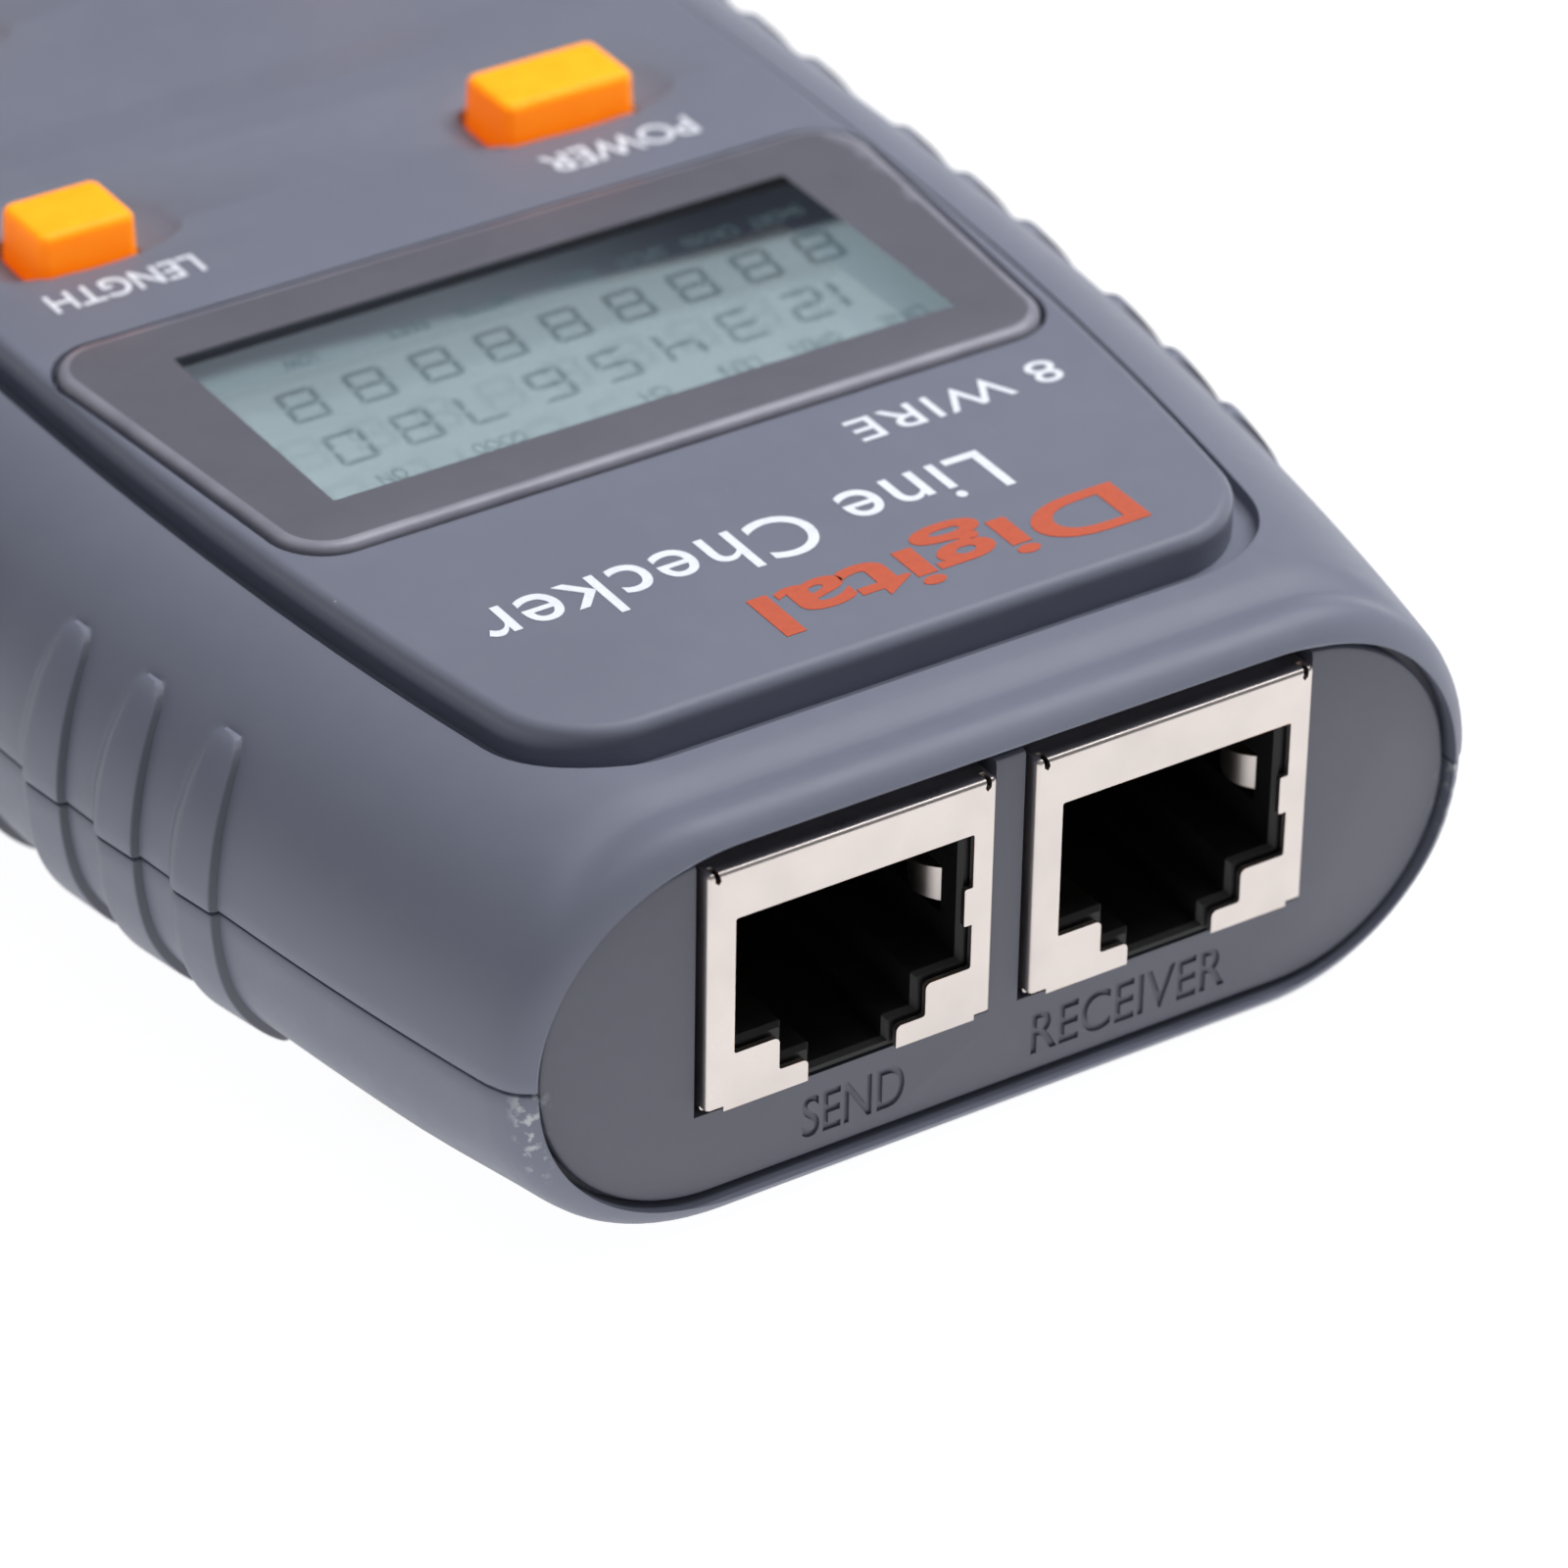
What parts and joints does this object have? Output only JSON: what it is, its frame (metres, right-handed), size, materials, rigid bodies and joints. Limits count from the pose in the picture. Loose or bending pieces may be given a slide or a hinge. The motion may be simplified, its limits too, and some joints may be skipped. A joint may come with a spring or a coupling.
{
  "type": "network cable tester",
  "caption": "Hand-held network cable tester with a sunk display, sprung keys and two shielded modular jacks in its end; a battery sits behind a sliding door.",
  "frame": {"origin": "middle of the footprint, on the plane the back of the case rests on", "axes": "+X to the right when the display is read, +Y towards the jacks, +Z out of the display"},
  "size_m": [0.0694, 0.1474, 0.0255],
  "materials": {
    "case": "fine satin grain",
    "cap": "fine satin grain",
    "key": "satin",
    "window": "polished acrylic with a printed border",
    "lcd": "reflective display glass",
    "nickel": "satin nickel plate",
    "black_plastic": "fine matte",
    "white_plastic": "fine matte",
    "board": "solder mask over glass laminate",
    "contact": "gold flash",
    "steel": "zinc plated",
    "can": "drawn can",
    "rubber": "matte",
    "battery_can": "printed jacket",
    "lead_red": "soft insulation",
    "lead_black": "soft insulation"
  },
  "bodies": {
    "case": {"front_shell": "case", "back_shell": "case", "end_cap": "cap", "lcd_window": "window", "lcd_glass": "lcd", "lcd_holder": "white_plastic", "zebra_strip_upper": "rubber", "zebra_strip_lower": "rubber", "display_board": "board", "jack_board": "board", "board_header": "black_plastic", "controller_chip": "black_plastic", "line_driver_left": "black_plastic", "line_driver_right": "black_plastic", "crystal": "can", "capacitor": "can", "jack_main_shield": "nickel", "jack_main_housing": "black_plastic", "jack_main_contacts": "contact", "jack_loopback_shield": "nickel", "jack_loopback_housing": "black_plastic", "jack_loopback_contacts": "contact", "switch_body_power": "black_plastic", "switch_body_pair": "black_plastic", "switch_body_code": "black_plastic", "switch_body_memory": "black_plastic", "battery": "battery_can", "battery_snap": "black_plastic", "battery_lead_red": "lead_red", "battery_lead_black": "lead_black", "case_screw_1": "steel", "case_screw_2": "steel", "case_screw_3": "steel", "case_screw_4": "steel", "display_board_screw_1": "steel", "display_board_screw_2": "steel", "display_board_screw_3": "steel", "display_board_screw_4": "steel", "jack_board_screw_1": "steel", "jack_board_screw_2": "steel"},
    "power_key": {"key_power": "key", "switch_plunger_power": "white_plastic"},
    "pair_key": {"key_pair": "key", "switch_plunger_pair": "white_plastic"},
    "code_key": {"key_code": "key", "switch_plunger_code": "white_plastic"},
    "memory_key": {"key_memory": "key", "switch_plunger_memory": "white_plastic"},
    "door": {"battery_door": "case"}
  },
  "joints": [
    {"name": "power_key_press", "type": "slide", "parent": "case", "child": "power_key", "axis": [0, 0, -1], "range_m": [0, 0.0005], "stiffness_N_per_m": 60},
    {"name": "pair_key_press", "type": "slide", "parent": "case", "child": "pair_key", "axis": [0, 0, -1], "range_m": [0, 0.0005], "stiffness_N_per_m": 60},
    {"name": "code_key_press", "type": "slide", "parent": "case", "child": "code_key", "axis": [0, 0, -1], "range_m": [0, 0.0005], "stiffness_N_per_m": 60},
    {"name": "memory_key_press", "type": "slide", "parent": "case", "child": "memory_key", "axis": [0, 0, -1], "range_m": [0, 0.0005], "stiffness_N_per_m": 60},
    {"name": "battery_door_slide", "type": "slide", "parent": "case", "child": "door", "axis": [0, -1, 0], "range_m": [0, 0.01]}
  ]
}
